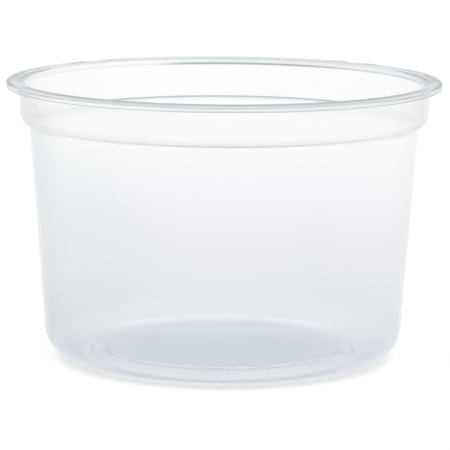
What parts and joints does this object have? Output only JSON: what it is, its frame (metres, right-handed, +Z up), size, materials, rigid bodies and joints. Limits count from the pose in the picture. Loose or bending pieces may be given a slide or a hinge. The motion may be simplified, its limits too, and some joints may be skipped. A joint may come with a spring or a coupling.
{
  "type": "round takeout container",
  "caption": "Round translucent plastic food tub, open at the top, with a flanged rim, a stepped collar, a tapered wall and a raised base panel, for holding takeaway food.",
  "frame": {"origin": "on the tub's axis, on the plane that its standing ring rests on", "axes": "+Z up along the axis of revolution, out of the open mouth; X and Y are alike"},
  "size_m": [0.1174, 0.1174, 0.0756],
  "materials": {
    "translucent_plastic": "thin formed polypropylene, translucent cool white with a satin gloss"
  },
  "bodies": {
    "root": {"tub": "translucent_plastic"}
  },
  "joints": []
}
